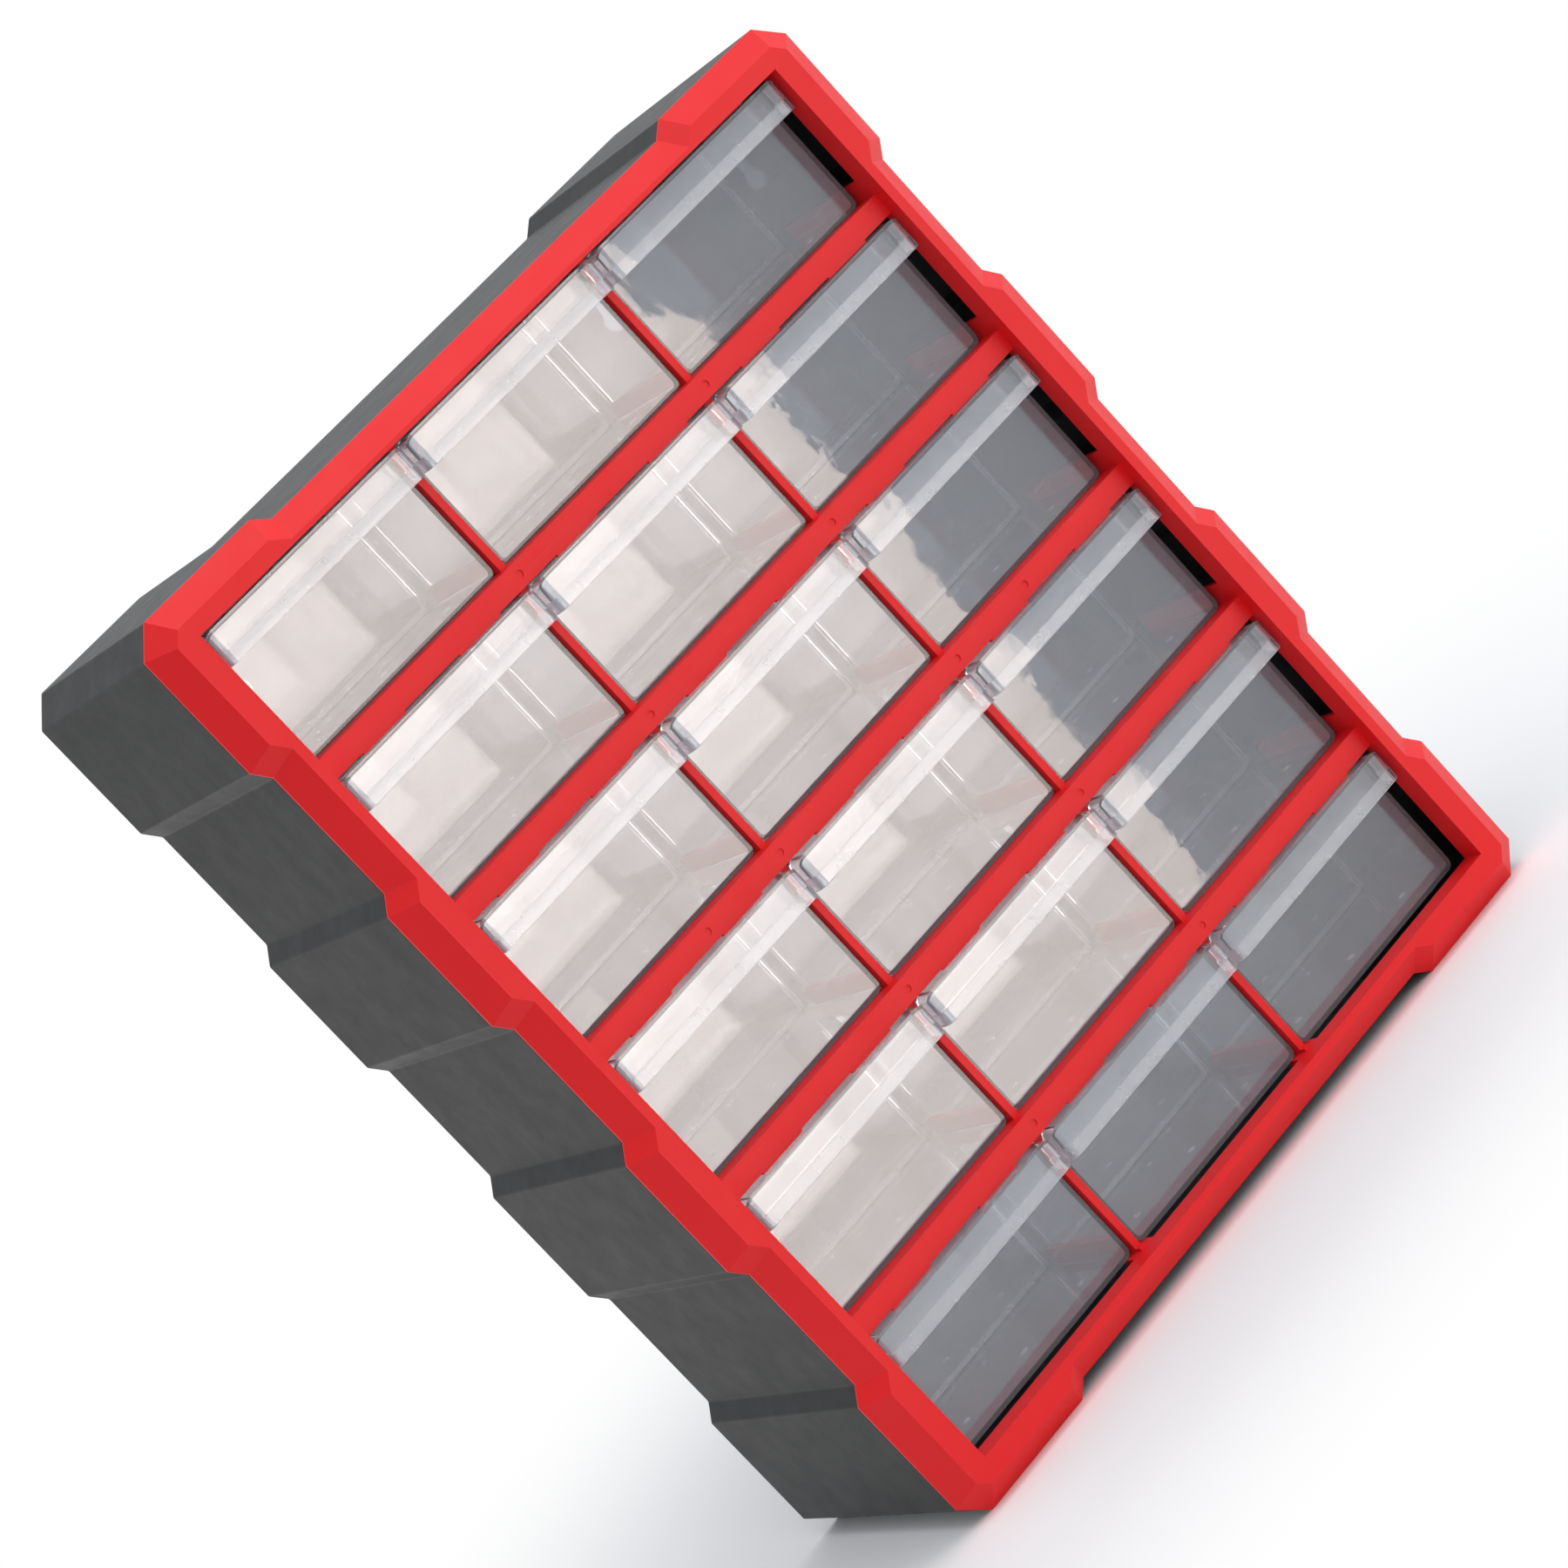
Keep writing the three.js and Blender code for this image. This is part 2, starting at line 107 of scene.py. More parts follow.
# Marks that the tool left on a drawer's floor: the feed point and six ejector pins, in millimetres.
GATE_RADIUS = 1.3
GATE_PLACE = (-4.5, 52.0)
PIN_RADIUS = 2.0
PIN_SPACING = (76.0, 72.0)
PIN_GRID = (3, 2)
PIN_CENTRE = 58.0
MARK_RISE = 0.35
MARK_LIFT = 0.02
MARK_TAPER = 0.86
MARK_SIDES = 28
MARK_LEAST = (0.92, 0.92, 0.7)
MARK_MOST = (1.0, 1.0, 1.0)

# The middle of a noise pattern, which is spread over the whole range of a finish.
NOISE_LOW = 0.3
NOISE_HIGH = 0.7

# Camera: its direction from the cabinet and its roll in degrees, its distance and clipping in metres, and
# its lens, its sensor and the point it aims at, from the cabinet's middle, in millimetres.
CAMERA_AZIMUTH = 24.14
CAMERA_ELEVATION = 9.90
CAMERA_ROLL = 43.0
CAMERA_DISTANCE = 1.9073
CAMERA_CLIP = (0.05, 60)
CAMERA_LENS = 107.02
CAMERA_SENSOR = 36
CAMERA_AIM = (-3.6, 2.6, 4.4)

# Floor: how far it reaches in front of the cabinet, to each side and behind, and where it turns to even
# white, by distance from the middle and by place towards its front edge. All in metres.
FLOOR_AHEAD = 0.29
FLOOR_SIDE = 2.5
FLOOR_BEHIND = 3
FLOOR_FADE = (0.22, 0.6)
FLOOR_FADE_AHEAD = -0.14
FLOOR_EDGE_BAND = 0.02

# Bounce card: its distance from the drawer fronts in metres and its strength. Then where its mirror image
# ends on the drawer fronts, in millimetres: up from the underside of the lowest bar, past the cabinet's left
# side, and past the right fin. Its top right corner is cut off, as steps in from the right and up from the
# underside of the top drawers.
CARD_REACH = 4.0
CARD_STRENGTH = 4.4
CARD_ABOVE_BAR = 5
CARD_PAST_LEFT = 10
CARD_PAST_FIN = 22
CARD_CORNER = ((0, 12), (14, 32))
CARD_TOP_INSET = 24

# Softboxes: place and size in metres, and power in watts.
SOFTBOXES = (
    ("top_softbox", (0.2, -0.8, 2.2), (2.0, 2.0), 15),
    ("right_softbox", (1.9, -1.8, 1.2), (1.4, 1.6), 10),
)

# The room's brightness, and the directions from left to right between which it rises.
ROOM_ACROSS = (-0.9, 0.55)
ROOM_STRENGTH = (0.45, 1.1)

DRAWER_ROWS = range(1, 7)
DRAWER_COLUMNS = range(1, 4)
UPPER_RIM = ["frame_rim_top", "frame_rim_left", "frame_rim_right"]
SHELF_BARS = [f"shelf_bar_{i}" for i in range(1, 6)]
COLUMN_FINS = ["column_fin_1", "column_fin_2"]


# Colours and nodes

def colour(code):
    """An sRGB hex colour as the linear numbers that a shader takes."""
    channels = [int(code[i:i + 2], 16) / 255 for i in (0, 2, 4)]
    linear = [c / 12.92 if c <= 0.04045 else ((c + 0.055) / 1.055) ** 2.4 for c in channels]
    return (*linear, 1.0)


def add(tree, kind, inputs=None, **settings):
    """Adds a node. An input's value is a number, a colour or another node's output."""
    made = tree.nodes.new(kind)
    for name, value in settings.items():
        setattr(made, name, value)
    for name, value in (inputs or {}).items():
        if isinstance(value, bpy.types.NodeSocket):
            tree.links.new(value, made.inputs[name])
        else:
            made.inputs[name].default_value = value
    return made


def new_material(name):
    """A material with an empty node tree."""
    material = bpy.data.materials.new(name)
    material.use_nodes = True
    material.node_tree.nodes.clear()
    return material, material.node_tree


def scale_for(size_mm):
    """The scale at which a noise pattern's lumps are about size_mm across."""
    return 1 / (size_mm * MM)


# Materials

def charcoal_polypropylene():
    """Charcoal polypropylene from a spark-eroded tool: a dry, finely pitted satin with paler worn edges."""
    material, tree = new_material("charcoal_polypropylene_spark_texture")
    place = add(tree, "ShaderNodeTexCoord").outputs["Object"]
    # Real spark texture is about 0.15 mm. It is drawn at 1.1 mm so that it shows.
    grain = add(tree, "ShaderNodeTexNoise", {
        "Vector": place, "Scale": scale_for(1.1), "Detail": 3.0, "Roughness": 0.6,
    }).outputs["Fac"]
    mottle = add(tree, "ShaderNodeTexNoise", {
        "Vector": place, "Scale": scale_for(55.0), "Detail": 3.0, "Roughness": 0.55,
    }).outputs["Fac"]
    handling = add(tree, "ShaderNodeTexNoise", {
        "Vector": place, "Scale": scale_for(14.0), "Detail": 4.0, "Roughness": 0.65,
    }).outputs["Fac"]
    wear = add(tree, "ShaderNodeAttribute", attribute_name="edge_wear").outputs["Fac"]
    mottled = add(tree, "ShaderNodeMapRange", {
        "Value": mottle, "From Min": NOISE_LOW, "From Max": NOISE_HIGH, "To Min": 0.0, "To Max": 1.0,
    }).outputs["Result"]
    pitted = add(tree, "ShaderNodeMapRange", {
        "Value": grain, "From Min": NOISE_LOW, "From Max": NOISE_HIGH, "To Min": 0.0, "To Max": 0.3,
    }).outputs["Result"]
    worn = add(tree, "ShaderNodeMath", {0: wear, 1: 0.45}, operation="MULTIPLY").outputs[0]
    base = add(tree, "ShaderNodeMix", {
        0: mottled, 6: colour("1f1f1e"), 7: colour("222221"),
    }, data_type="RGBA").outputs[2]
    base = add(tree, "ShaderNodeMix", {0: pitted, 6: base, 7: colour("2a2a28")}, data_type="RGBA").outputs[2]
    base = add(tree, "ShaderNodeMix", {0: worn, 6: base, 7: colour("3d3c3a")}, data_type="RGBA").outputs[2]
    rough = add(tree, "ShaderNodeMapRange", {
        "Value": handling, "From Min": NOISE_LOW, "From Max": NOISE_HIGH, "To Min": 0.50, "To Max": 0.58,
    }).outputs["Result"]
    bump = add(tree, "ShaderNodeBump", {"Strength": 0.35, "Distance": 0.08 * MM, "Height": grain})
    shader = add(tree, "ShaderNodeBsdfPrincipled", {
        "Base Color": base, "Roughness": rough, "IOR": 1.49, "Normal": bump.outputs["Normal"],
    })
    add(tree, "ShaderNodeOutputMaterial", {"Surface": shader.outputs["BSDF"]})
    return material


def red_abs():
    """Red ABS, injection moulded in a lightly grained tool: a bright satin skin with faint flow shading."""
    material, tree = new_material("red_abs_injection_moulded")
    place = add(tree, "ShaderNodeTexCoord").outputs["Object"]
    # Real tool grain is about 0.1 mm. It is drawn at 0.9 mm so that it shows.
    grain = add(tree, "ShaderNodeTexNoise", {
        "Vector": place, "Scale": scale_for(0.9), "Detail": 2.0, "Roughness": 0.5,
    }).outputs["Fac"]
    flow = add(tree, "ShaderNodeTexNoise", {
        "Vector": place, "Scale": scale_for(70.0), "Detail": 3.0, "Roughness": 0.6,
    }).outputs["Fac"]
    handling = add(tree, "ShaderNodeTexNoise", {
        "Vector": place, "Scale": scale_for(18.0), "Detail": 4.0, "Roughness": 0.65,
    }).outputs["Fac"]
    wear = add(tree, "ShaderNodeAttribute", attribute_name="edge_wear").outputs["Fac"]
    flowed = add(tree, "ShaderNodeMapRange", {
        "Value": flow, "From Min": NOISE_LOW, "From Max": NOISE_HIGH, "To Min": 0.0, "To Max": 1.0,
    }).outputs["Result"]
    worn = add(tree, "ShaderNodeMath", {0: wear, 1: 0.35}, operation="MULTIPLY").outputs[0]
    base = add(tree, "ShaderNodeMix", {
        0: flowed, 6: colour("e4161a"), 7: colour("e7191d"),
    }, data_type="RGBA").outputs[2]
    base = add(tree, "ShaderNodeMix", {0: worn, 6: base, 7: colour("ea3235")}, data_type="RGBA").outputs[2]
    rough = add(tree, "ShaderNodeMapRange", {
        "Value": handling, "From Min": NOISE_LOW, "From Max": NOISE_HIGH, "To Min": 0.42, "To Max": 0.52,
    }).outputs["Result"]
    bump = add(tree, "ShaderNodeBump", {"Strength": 0.2, "Distance": 0.05 * MM, "Height": grain})
    shader = add(tree, "ShaderNodeBsdfPrincipled", {
        "Base Color": base, "Roughness": rough, "IOR": 1.53, "Specular IOR Level": 0.3,
        "Normal": bump.outputs["Normal"],
    })
    add(tree, "ShaderNodeOutputMaterial", {"Surface": shader.outputs["BSDF"]})
    return material


def polystyrene(name, through, smooth, dull):
    """Polystyrene that lets a share of the light through, with the gentle waves of a thin moulded wall."""
    material, tree = new_material(name)
    place = add(tree, "ShaderNodeTexCoord").outputs["Object"]
    waves = add(tree, "ShaderNodeTexNoise", {
        "Vector": place, "Scale": scale_for(22.0), "Detail": 3.0, "Roughness": 0.45,
    }).outputs["Fac"]
    haze = add(tree, "ShaderNodeTexNoise", {
        "Vector": place, "Scale": scale_for(9.0), "Detail": 4.0, "Roughness": 0.6,
    }).outputs["Fac"]
    hazy = add(tree, "ShaderNodeMapRange", {
        "Value": haze, "From Min": NOISE_LOW, "From Max": NOISE_HIGH, "To Min": 0.0, "To Max": 1.0,
    }).outputs["Result"]
    base = add(tree, "ShaderNodeMix", {
        0: hazy, 6: colour("f1f4f8"), 7: colour("f7f9fb"),
    }, data_type="RGBA").outputs[2]
    rough = add(tree, "ShaderNodeMapRange", {
        "Value": haze, "From Min": NOISE_LOW, "From Max": NOISE_HIGH, "To Min": smooth, "To Max": dull,
    }).outputs["Result"]
    bump = add(tree, "ShaderNodeBump", {"Strength": 0.5, "Distance": 0.06 * MM, "Height": waves})
    shader = add(tree, "ShaderNodeBsdfPrincipled", {
        "Base Color": base, "Roughness": rough, "IOR": 1.59, "Transmission Weight": through,
        "Normal": bump.outputs["Normal"],
    })
    # Lamps shine straight through the thin walls, so that what lies behind them is lit.
    pane = add(tree, "ShaderNodeBsdfTransparent", {"Color": colour("f4f5f7")})
    path = add(tree, "ShaderNodeLightPath")
    mix = add(tree, "ShaderNodeMixShader", {
        0: path.outputs["Is Shadow Ray"], 1: shader.outputs["BSDF"], 2: pane.outputs["BSDF"],
    })
    add(tree, "ShaderNodeOutputMaterial", {"Surface": mix.outputs["Shader"]})
    return material


def clear_polystyrene():
    """Clear polystyrene from a polished tool: glossy and slightly hazy."""
    return polystyrene("clear_polystyrene_polished_tool", 0.935, 0.0, 0.03)


def frosted_polystyrene():
    """The same plastic from unpolished steel, on edges, ribs and the pull's lower band: milky and pale."""
    return polystyrene("clear_polystyrene_unpolished_tool", 0.74, 0.18, 0.3)


# Meshes

def make_whole(mesh):
    """Merges loose triangles into whole flat faces. A face that rings an opening is cut in quarters."""
    bm = bmesh.new()
    bm.from_mesh(mesh)
    bmesh.ops.remove_doubles(bm, verts=bm.verts, dist=MERGE_DISTANCE * MM)
    for axis in (0, 1, 2):
        reach = [v.co[axis] for v in bm.verts]
        middle = Vector((0, 0, 0))
        middle[axis] = (min(reach) + max(reach)) / 2 + CUT_OFF_CENTRE * MM
        normal = Vector((0, 0, 0))
        normal[axis] = 1
        cut = bmesh.ops.bisect_plane(
            bm, geom=[*bm.verts, *bm.edges, *bm.faces], dist=CUT_TOLERANCE * MM,
            plane_co=middle, plane_no=normal,
        )
        for part in cut["geom_cut"]:
            if isinstance(part, bmesh.types.BMEdge):
                part.seam = True
    bmesh.ops.dissolve_limit(
        bm, angle_limit=FLAT_ANGLE, verts=bm.verts, edges=bm.edges, delimit={"SEAM"},
    )
    bm.to_mesh(mesh)
    bm.free()


def copy_of(node_name, name):
    """A copy of a node's mesh, as whole flat faces."""
    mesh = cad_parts[node_name].data.copy()
    mesh.materials.clear()
    make_whole(mesh)
    for attribute in list(mesh.attributes):
        if attribute.name == "custom_normal":
            mesh.attributes.remove(attribute)
    return link_object(name, mesh)


def link_object(name, data):
    """A new object in the scene."""
    made = bpy.data.objects.new(name, data)
    bpy.context.scene.collection.objects.link(made)
    return made


def shift_plane(piece, axis, place, change):
    """Moves every vertex that lies on one flat plane, to close the gap to the next moulding."""
    for vertex in piece.data.vertices:
        if abs(vertex.co[axis] - place) < PLANE_TOLERANCE * MM:
            vertex.co[axis] += change


def settle(piece):
    """Applies a piece's modifiers, and leaves a plain mesh."""
    graph = bpy.context.evaluated_depsgraph_get()
    mesh = bpy.data.meshes.new_from_object(piece.evaluated_get(graph), depsgraph=graph)
    piece.modifiers.clear()
    piece.data = mesh


def mark_edges(mesh, width):
    """Writes edge_wear: 1 on the narrow faces that round an edge, and 0 on the flat walls."""
    wear = mesh.attributes.new("edge_wear", "FLOAT", "FACE")
    for face in mesh.polygons:
        points = [mesh.vertices[i].co for i in face.vertices]
        longest = max((points[i] - points[i - 1]).length for i in range(len(points)))
        narrow = face.area < NARROW_SHARE * width * longest
        wear.data[face.index].value = 1.0 if narrow else 0.0


def round_edges(piece, width_mm, steps, worn_mm):
    """Rounds the edges as a mould does and shades flat faces flat. Marks the faces under worn_mm wide."""
    for face in piece.data.polygons:
        face.use_smooth = True
    bevel = piece.modifiers.new("edges", "BEVEL")
    bevel.width = width_mm * MM
    bevel.segments = steps
    bevel.limit_method = "ANGLE"
    bevel.angle_limit = EDGE_ANGLE
    bevel.miter_outer = "MITER_ARC"
    bevel.use_clamp_overlap = True
    shading = piece.modifiers.new("shading", "WEIGHTED_NORMAL")
    shading.mode = "FACE_AREA"
    shading.weight = FLAT_FACE_WEIGHT
    settle(piece)
    mark_edges(piece.data, worn_mm * MM)


def dress(piece, material, body, replaced):
    """Gives a finished piece its material in its one slot, hangs it on its body and hides the nodes that it
    replaces.
    """
    piece.data.materials.clear()
    piece.data.materials.append(material)
    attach(piece, body)
    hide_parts(*replaced)


# Housing

def build_housing(material):
    """The dark shell, with the edges of its pads and steps rounded."""
    piece = copy_of("housing", "housing_shell")
    round_edges(piece, HOUSING_EDGE, BODY_STEPS, HOUSING_EDGE)
    dress(piece, material, "cabinet", ["housing"])


# Front frame

def build_front_frame(material):
    """The rim, shelf bars and column fins closed up into the one moulding that they are."""
    gap = JOINT_GAP * MM
    sink = SINK * MM
    bar_sink = BAR_SINK * MM
    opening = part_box("drawer_r1_c3")[1].x + LIP_TO_RIM * MM
    front = cad_bounds[0].y
    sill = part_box("drawer_r6_c1")[0].z - gap
    fin_front = front + FIN_FRONT * MM
    behind_collar = front + (COLLAR_DEPTH + JOINT_GAP) * MM
    fin_reach = FIN_THICKNESS / 2 * MM + gap
    parts = []
    for name in SHELF_BARS:
        bar = copy_of(name, f"{name}_copy")
        for side in (-1, 1):
            shift_plane(bar, 0, side * (opening - gap), side * (gap + sink))
        for fin in COLUMN_FINS:
            fin_low, fin_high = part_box(fin)
            x = (fin_low.x + fin_high.x) / 2
            for side in (-1, 1):
                shift_plane(bar, 0, x + side * fin_reach, -side * (gap + bar_sink))
        shift_plane(bar, 1, fin_front - gap, gap + bar_sink)
        shift_plane(bar, 1, behind_collar, -sink)
        parts.append(bar)
    for name in COLUMN_FINS:
        fin = copy_of(name, f"{name}_copy")
        shift_plane(fin, 2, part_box(name)[1].z, gap + sink)
        shift_plane(fin, 2, sill + gap, -(gap + sink))
        shift_plane(fin, 1, behind_collar, -sink)
        parts.append(fin)
    for name in UPPER_RIM:
        side = copy_of(name, f"{name}_copy")
        if name != "frame_rim_top":
            shift_plane(side, 2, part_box(name)[0].z, -(gap + sink))
            shift_plane(side, 2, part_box(name)[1].z, gap + sink)
        parts.append(side)
    rim = copy_of("frame_rim_bottom", "front_frame")
    for part in parts:
        union = rim.modifiers.new("union", "BOOLEAN")
        union.operation = "UNION"
        union.solver = "EXACT"
        union.object = part
        settle(rim)
    for part in parts:
        bpy.data.objects.remove(part)
    make_whole(rim.data)
    round_edges(rim, FRAME_EDGE, BODY_STEPS, FRAME_EDGE)
    nodes = ["frame_rim_bottom", *UPPER_RIM, *SHELF_BARS, *COLUMN_FINS]
    dress(rim, material, "cabinet", nodes)


# Drawers

def sink_panels(mesh):
    """Thins the middle of a divider on both sides, which leaves a frame round its edge."""
    bm = bmesh.new()
    bm.from_mesh(mesh)
    for way in (-1, 1):
        panel = [f for f in bm.faces if f.normal.y * way > PANEL_FACING]
        bmesh.ops.inset_region(
            bm, faces=panel, thickness=DIVIDER_FRAME * MM, depth=-DIVIDER_SINK * MM, use_even_offset=True,
        )
    bm.to_mesh(mesh)
    bm.free()


def frost(piece, frosted):
    """Puts the frosted finish on the faces that edge_wear marks."""
    piece.data.materials.append(frosted)
    worn = piece.data.attributes["edge_wear"].data
    for face in piece.data.polygons:
        face.material_index = 1 if worn[face.index].value > 0.5 else 0


def build_drawer(row, column, material, frosted):
    """A clear drawer, frosted on its narrow edges and on the lower band of its pull."""
    node_name = f"drawer_r{row}_c{column}"
    piece = copy_of(node_name, f"clear_{node_name}")
    round_edges(piece, DRAWER_EDGE, CLEAR_STEPS, DRAWER_EDGE)
    low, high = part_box(node_name)
    band_top = high.z - (STOP_RIB_RISE + LIP_HEIGHT - BEAD_HEIGHT) * MM
    band_back = low.y + BAND_DEPTH * MM
    worn = piece.data.attributes["edge_wear"].data
    for face in piece.data.polygons:
        if face.center.y < band_back and face.center.z < band_top:
            worn[face.index].value = 1.0
    dress(piece, material, node_name, [node_name])
    frost(piece, frosted)


def build_divider(row, column, material, frosted):
    """A clear cross divider with a sunk panel in a frosted frame."""
    node_name = f"divider_r{row}_c{column}"
    piece = copy_of(node_name, f"clear_{node_name}")
    sink_panels(piece.data)
    round_edges(piece, DIVIDER_EDGE, CLEAR_STEPS, DIVIDER_FROSTED)
    dress(piece, material, f"drawer_r{row}_c{column}", [node_name])
    frost(piece, frosted)


# Moulding marks, which repeat on every drawer's floor

def moulding_marks_tree():
    """A geometry tree: a grid of ejector pin marks with one feed mark, as real geometry with its material."""
    tree = bpy.data.node_groups.new("moulding_marks", "GeometryNodeTree")
    sockets = (
        ("Centre", "NodeSocketVector"), ("Gate Place", "NodeSocketVector"),
        ("Gate Radius", "NodeSocketFloat"), ("Pin Radius", "NodeSocketFloat"),
        ("Spacing Across", "NodeSocketFloat"), ("Spacing Deep", "NodeSocketFloat"),
        ("Rise", "NodeSocketFloat"), ("Seed", "NodeSocketInt"), ("Material", "NodeSocketMaterial"),
    )
    for name, kind in sockets:
        tree.interface.new_socket(name, in_out="INPUT", socket_type=kind)
    tree.interface.new_socket("Geometry", in_out="OUTPUT", socket_type="NodeSocketGeometry")
    given = add(tree, "NodeGroupInput").outputs
    grid = add(tree, "GeometryNodeMeshGrid", {
        "Size X": given["Spacing Across"], "Size Y": given["Spacing Deep"],
        "Vertices X": PIN_GRID[0], "Vertices Y": PIN_GRID[1],
    })
    pins = add(tree, "GeometryNodeTransform", {
        "Geometry": grid.outputs["Mesh"], "Translation": given["Centre"],
    })
    gate = add(tree, "GeometryNodeMeshLine", {"Count": 1, "Start Location": given["Gate Place"]})
    uneven = add(tree, "FunctionNodeRandomValue", {
        "Min": MARK_LEAST, "Max": MARK_MOST, "Seed": given["Seed"],
    }, data_type="FLOAT_VECTOR")
    joined = add(tree, "GeometryNodeJoinGeometry")
    for radius, points in (("Pin Radius", pins.outputs["Geometry"]), ("Gate Radius", gate.outputs["Mesh"])):
        top = add(tree, "ShaderNodeMath", {0: given[radius], 1: MARK_TAPER}, operation="MULTIPLY")
        disc = add(tree, "GeometryNodeMeshCone", {
            "Vertices": MARK_SIDES, "Radius Top": top.outputs[0], "Radius Bottom": given[radius],
            "Depth": given["Rise"],
        })
        placed = add(tree, "GeometryNodeInstanceOnPoints", {
            "Points": points, "Instance": disc.outputs["Mesh"], "Scale": uneven.outputs["Value"],
        })
        tree.links.new(placed.outputs["Instances"], joined.inputs["Geometry"])
    real = add(tree, "GeometryNodeRealizeInstances", {"Geometry": joined.outputs["Geometry"]})
    coloured = add(tree, "GeometryNodeSetMaterial", {
        "Geometry": real.outputs["Geometry"], "Material": given["Material"],
    })
    add(tree, "NodeGroupOutput", {"Geometry": coloured.outputs["Geometry"]})
    return tree


def build_marks(row, column, tree, frosted):
    """The marks on one drawer's floor, as one plain mesh that rides with the drawer."""
    low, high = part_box(f"drawer_r{row}_c{column}")
    middle = (low.x + high.x) / 2
    face = low.y + LIP_TO_FACE * MM
    floor = low.z + (DRAWER_FLOOR + MARK_LIFT) * MM
    values = {
        "Centre": (middle, face + PIN_CENTRE * MM, floor),
        "Gate Place": (middle + GATE_PLACE[0] * MM, face + GATE_PLACE[1] * MM, floor),
        "Gate Radius": GATE_RADIUS * MM, "Pin Radius": PIN_RADIUS * MM,
        "Spacing Across": PIN_SPACING[0] * MM, "Spacing Deep": PIN_SPACING[1] * MM,
        "Rise": MARK_RISE * MM, "Seed": 10 * row + column, "Material": frosted,
    }
    name = f"moulding_marks_r{row}_c{column}"
    piece = link_object(name, bpy.data.meshes.new(name))
    modifier = piece.modifiers.new("marks", "NODES")
    modifier.node_group = tree
    for socket in tree.interface.items_tree:
        if socket.in_out == "INPUT":
            modifier[socket.identifier] = values[socket.name]
    settle(piece)
    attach(piece, f"drawer_r{row}_c{column}")


# Studio

def build_camera():
    """A camera to the left of the cabinet and a little above it, rolled so that the cabinet leans."""
    azimuth, elevation, roll = (math.radians(a) for a in (CAMERA_AZIMUTH, CAMERA_ELEVATION, CAMERA_ROLL))
    back = Vector((
        -math.sin(azimuth) * math.cos(elevation),
        -math.cos(azimuth) * math.cos(elevation),
        math.sin(elevation),
    ))
    right = (-back).cross(Vector((0, 0, 1))).normalized()
    up = right.cross(-back)
    turned_right = math.cos(roll) * right - math.sin(roll) * up
    turned_up = math.sin(roll) * right + math.cos(roll) * up
    aim = (cad_bounds[0] + cad_bounds[1]) / 2 + Vector(CAMERA_AIM) * MM
    data = bpy.data.cameras.new("camera")
    data.lens = CAMERA_LENS
    data.sensor_width = CAMERA_SENSOR
    data.clip_start, data.clip_end = CAMERA_CLIP
    camera = link_object("camera", data)
    turn = Matrix((turned_right, turned_up, back)).transposed()
    camera.matrix_world = Matrix.Translation(aim + back * CAMERA_DISTANCE) @ turn.to_4x4()
    bpy.context.scene.camera = camera
    return camera


def flat_sheet(name, corners):
    """A single flat face."""
    mesh = bpy.data.meshes.new(name)
    mesh.from_pydata([tuple(c) for c in corners], [], [tuple(range(len(corners)))])
    return link_object(name, mesh)


def build_floor():
    """A white floor that takes soft shadows near the cabinet and is evenly lit further off."""
    front = cad_bounds[0].y - FLOOR_AHEAD
    floor = flat_sheet("studio_floor", [
        (-FLOOR_SIDE, front, 0), (FLOOR_SIDE, front, 0),
        (FLOOR_SIDE, FLOOR_BEHIND, 0), (-FLOOR_SIDE, FLOOR_BEHIND, 0),
    ])
    material, tree = new_material("pale_painted_floor")
    place = add(tree, "ShaderNodeTexCoord").outputs["Object"]
    away = add(tree, "ShaderNodeVectorMath", {0: place}, operation="LENGTH").outputs["Value"]
    ahead = add(tree, "ShaderNodeSeparateXYZ", {0: place}).outputs["Y"]
    lit_far = add(tree, "ShaderNodeMapRange", {
        "Value": away, "From Min": FLOOR_FADE[0], "From Max": FLOOR_FADE[1], "To Min": 0.0, "To Max": 1.0,
    }, interpolation_type="SMOOTHSTEP").outputs["Result"]
    lit_ahead = add(tree, "ShaderNodeMapRange", {
        "Value": ahead, "From Min": FLOOR_FADE_AHEAD, "From Max": front + FLOOR_EDGE_BAND,
        "To Min": 0.0, "To Max": 1.0,
    }, interpolation_type="SMOOTHSTEP").outputs["Result"]
    lit = add(tree, "ShaderNodeMath", {0: lit_far, 1: lit_ahead}, operation="MAXIMUM").outputs[0]
    paint = add(tree, "ShaderNodeBsdfDiffuse", {"Color": colour("f8f8f8")})
    glow = add(tree, "ShaderNodeEmission", {"Color": colour("ffffff"), "Strength": 1.0})
    mix = add(tree, "ShaderNodeMixShader", {0: lit, 1: paint.outputs[0], 2: glow.outputs[0]})
    add(tree, "ShaderNodeOutputMaterial", {"Surface": mix.outputs[0]})
    floor.data.materials.append(material)


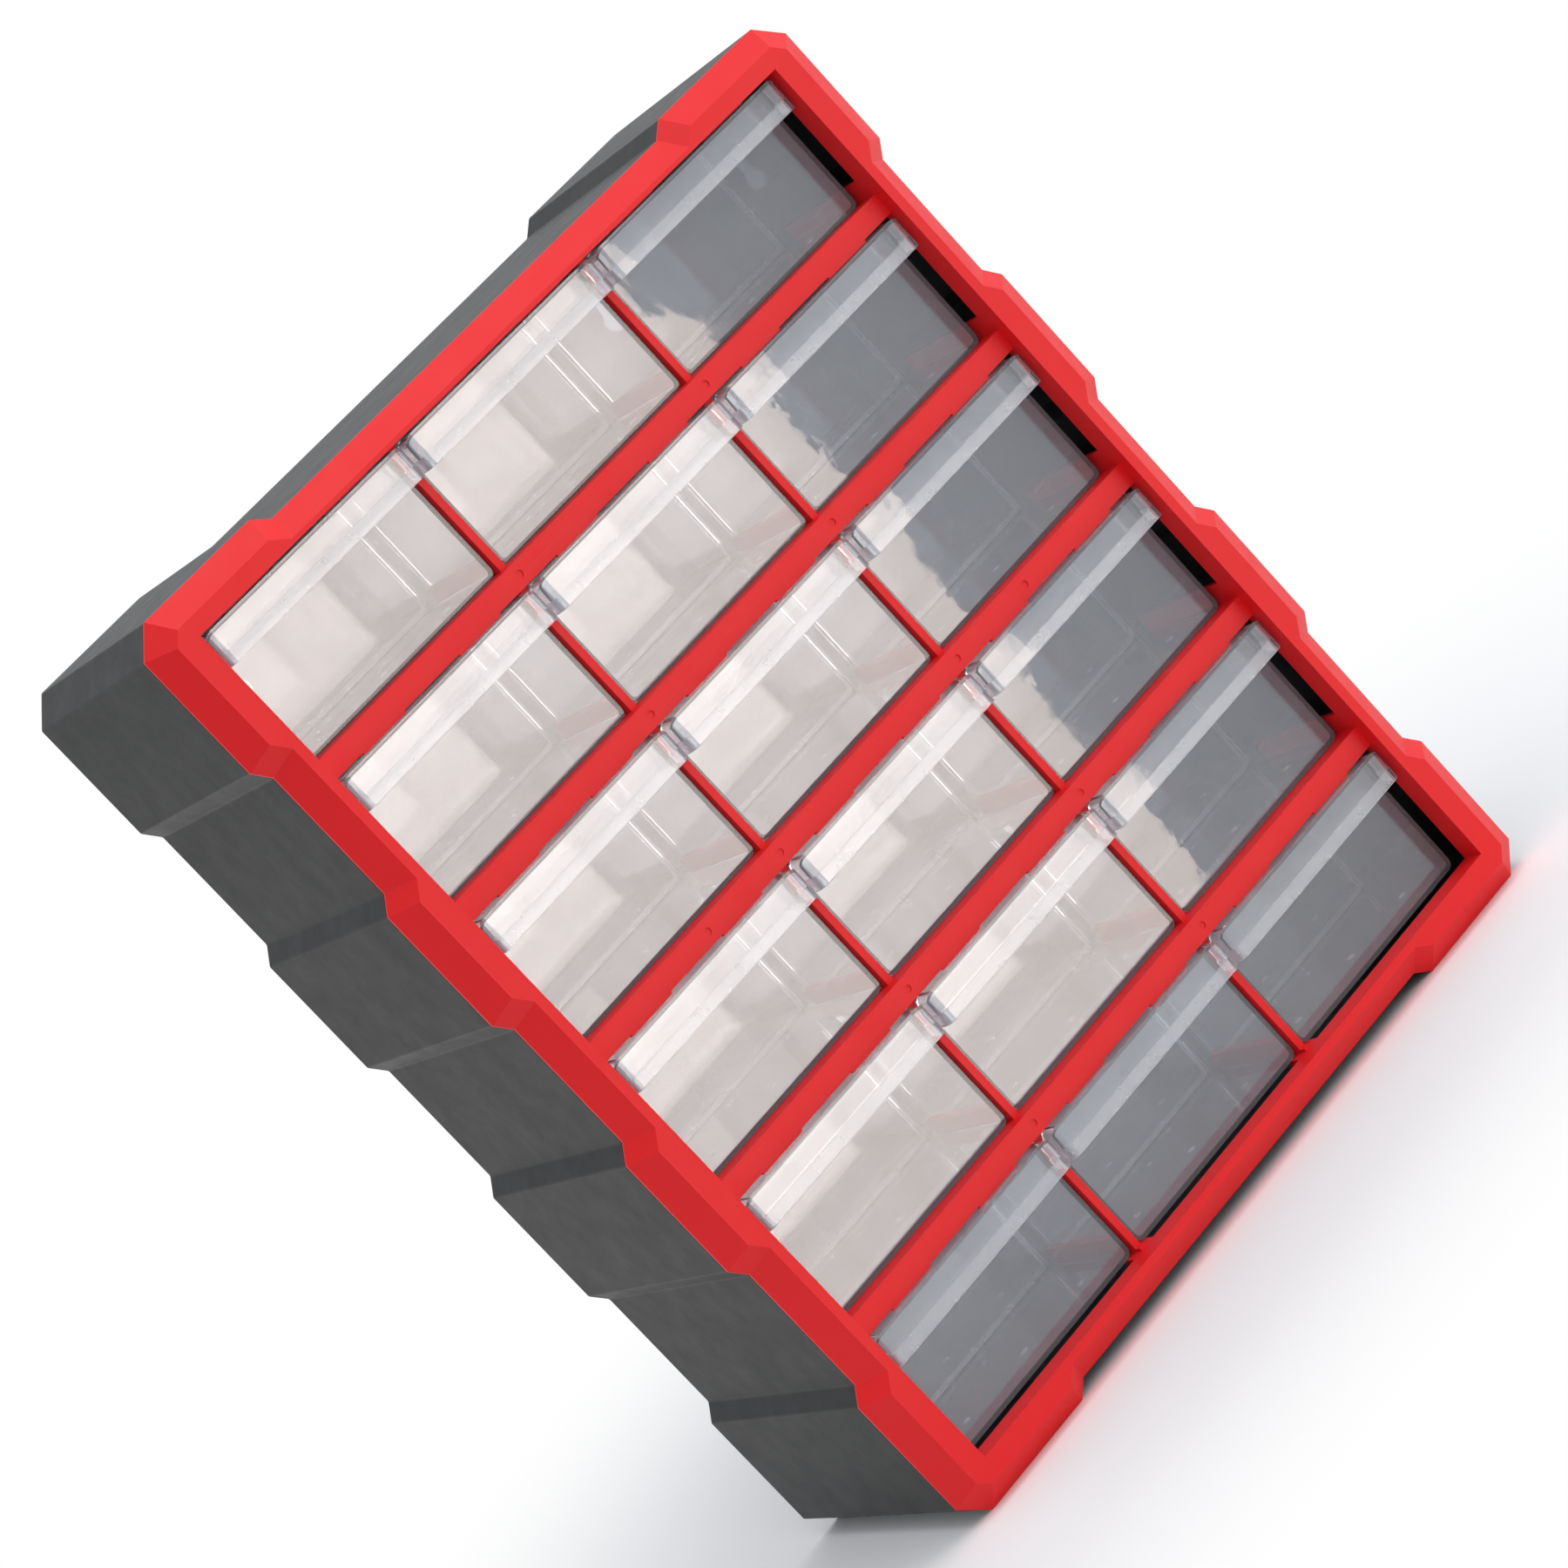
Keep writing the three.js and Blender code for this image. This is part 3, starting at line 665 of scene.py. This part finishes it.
def build_bounce_card(camera):
    """A bright wall far in front of the cabinet, seen as a mirror image in the clear drawer fronts."""
    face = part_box("drawer_r1_c1")[0].y + LIP_TO_FACE * MM
    eye = camera.matrix_world.translation
    mirrored = Vector((eye.x, 2 * face - eye.y, eye.z))
    fin_low, fin_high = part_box("column_fin_2")
    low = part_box("shelf_bar_5")[0].z + CARD_ABOVE_BAR * MM
    top_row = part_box("drawer_r1_c3")[0].z
    high = cad_bounds[1].z
    left = cad_bounds[0].x - CARD_PAST_LEFT * MM
    right = (fin_low.x + fin_high.x) / 2 + CARD_PAST_FIN * MM
    outline = [
        (left, low), (right, low),
        *((right - inset * MM, top_row + rise * MM) for inset, rise in CARD_CORNER),
        (right - CARD_TOP_INSET * MM, high), (left, high),
    ]
    corners = []
    for x, z in outline:
        ray = Vector((x, face, z)) - mirrored
        corners.append(mirrored + ray * ((mirrored.y - face + CARD_REACH) / (mirrored.y - face)))
    card = flat_sheet("bounce_card", corners)
    material, tree = new_material("lit_white_card")
    glow = add(tree, "ShaderNodeEmission", {"Color": colour("ffeee3"), "Strength": CARD_STRENGTH})
    add(tree, "ShaderNodeOutputMaterial", {"Surface": glow.outputs["Emission"]})
    card.data.materials.append(material)
    card.visible_camera = False
    card.visible_shadow = False
    card.visible_diffuse = False


def build_softbox(name, place, size, power):
    """A softbox that points at the cabinet's middle."""
    data = bpy.data.lights.new(name, "AREA")
    data.shape = "RECTANGLE"
    data.size, data.size_y = size
    data.energy = power
    light = link_object(name, data)
    light.location = place
    light.rotation_mode = "QUATERNION"
    aim = (cad_bounds[0] + cad_bounds[1]) / 2
    light.rotation_quaternion = (aim - Vector(place)).to_track_quat("-Z", "Y")
    light.visible_camera = False


def build_room():
    """A room that is brighter on the right than on the left, and looks plain white."""
    world = bpy.data.worlds.new("studio")
    world.use_nodes = True
    tree = world.node_tree
    tree.nodes.clear()
    direction = add(tree, "ShaderNodeTexCoord").outputs["Generated"]
    across = add(tree, "ShaderNodeSeparateXYZ", {0: direction}).outputs["X"]
    strength = add(tree, "ShaderNodeMapRange", {
        "Value": across, "From Min": ROOM_ACROSS[0], "From Max": ROOM_ACROSS[1],
        "To Min": ROOM_STRENGTH[0], "To Max": ROOM_STRENGTH[1],
    }).outputs["Result"]
    lamp = add(tree, "ShaderNodeBackground", {"Color": colour("f4f6fb"), "Strength": strength})
    seen = add(tree, "ShaderNodeBackground", {"Color": colour("ffffff"), "Strength": 1.0})
    path = add(tree, "ShaderNodeLightPath")
    mix = add(tree, "ShaderNodeMixShader", {
        0: path.outputs["Is Camera Ray"], 1: lamp.outputs[0], 2: seen.outputs[0],
    })
    add(tree, "ShaderNodeOutputWorld", {"Surface": mix.outputs[0]})
    bpy.context.scene.world = world


charcoal = charcoal_polypropylene()
red = red_abs()
clear = clear_polystyrene()
frosted = frosted_polystyrene()
marks = moulding_marks_tree()
build_housing(charcoal)
build_front_frame(red)
for row in DRAWER_ROWS:
    for column in DRAWER_COLUMNS:
        build_drawer(row, column, clear, frosted)
        build_divider(row, column, clear, frosted)
        build_marks(row, column, marks, frosted)

camera = build_camera()
build_floor()
build_bounce_card(camera)
for softbox in SOFTBOXES:
    build_softbox(*softbox)
build_room()

scene = bpy.context.scene
scene.view_settings.view_transform = "Standard"
scene.view_settings.look = "None"
scene.cycles.max_bounces = 20
scene.cycles.transmission_bounces = 18
scene.cycles.glossy_bounces = 6
scene.cycles.diffuse_bounces = 4
scene.cycles.transparent_max_bounces = 32
